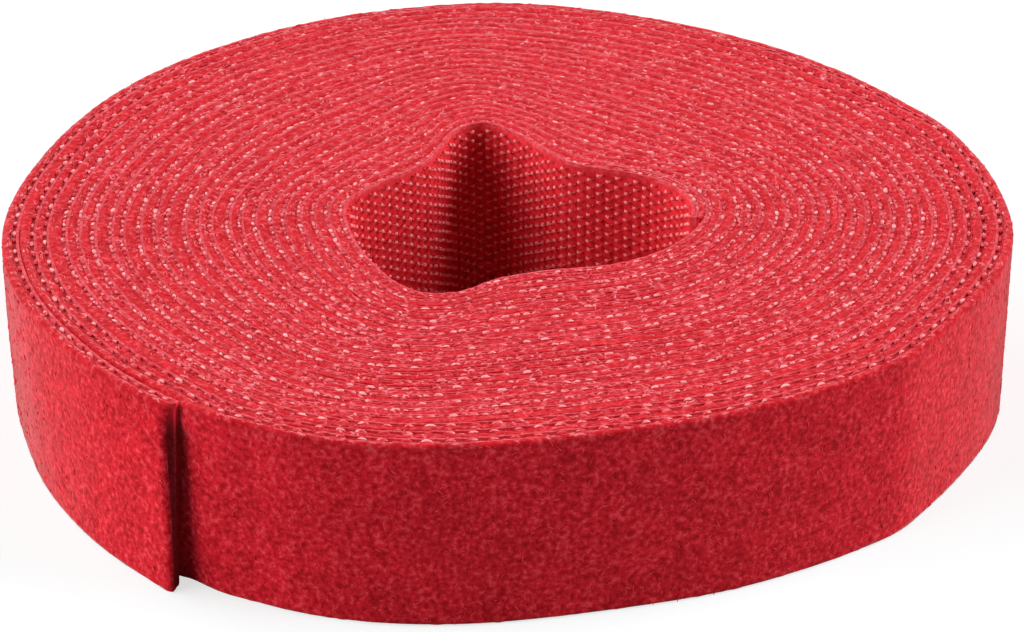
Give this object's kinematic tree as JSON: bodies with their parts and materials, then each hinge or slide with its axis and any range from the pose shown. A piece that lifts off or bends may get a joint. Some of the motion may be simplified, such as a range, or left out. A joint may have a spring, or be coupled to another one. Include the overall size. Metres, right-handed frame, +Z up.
{
  "type": "hook and loop tape roll",
  "caption": "Roll of double-sided hook and loop tape wound on itself around an open three-lobed bore, with a liftable outer end and a springy inner end.",
  "frame": {"origin": "middle of the roll's extents in X and Y, at the lower edge of the tape, on the surface that the roll lies on", "axes": "+Z up along the roll's winding axis, +X to the right and +Y to the back as the roll is seen in the picture, with the free outer end at the front left"},
  "size_m": [0.104, 0.1014, 0.02],
  "materials": {
    "loop_pile": "matte",
    "hook_web": "satin"
  },
  "bodies": {
    "roll": {"roll_loop_ply": "loop_pile", "roll_hook_ply": "hook_web"},
    "outer_end": {"outer_end_loop_ply": "loop_pile", "outer_end_hook_ply": "hook_web"},
    "inner_end": {"inner_end_loop_ply": "loop_pile", "inner_end_hook_ply": "hook_web"}
  },
  "joints": [
    {"name": "outer_end_peel", "type": "hinge", "parent": "roll", "child": "outer_end", "pos_m": [-0.05197, -0.01003, 0.01], "axis": [0, 0, -1], "range_deg": [0, 120]},
    {"name": "inner_end_peel", "type": "hinge", "parent": "roll", "child": "inner_end", "pos_m": [0.00982, 0.00762, 0.01], "axis": [0, 0, -1], "range_deg": [0, 65]}
  ]
}
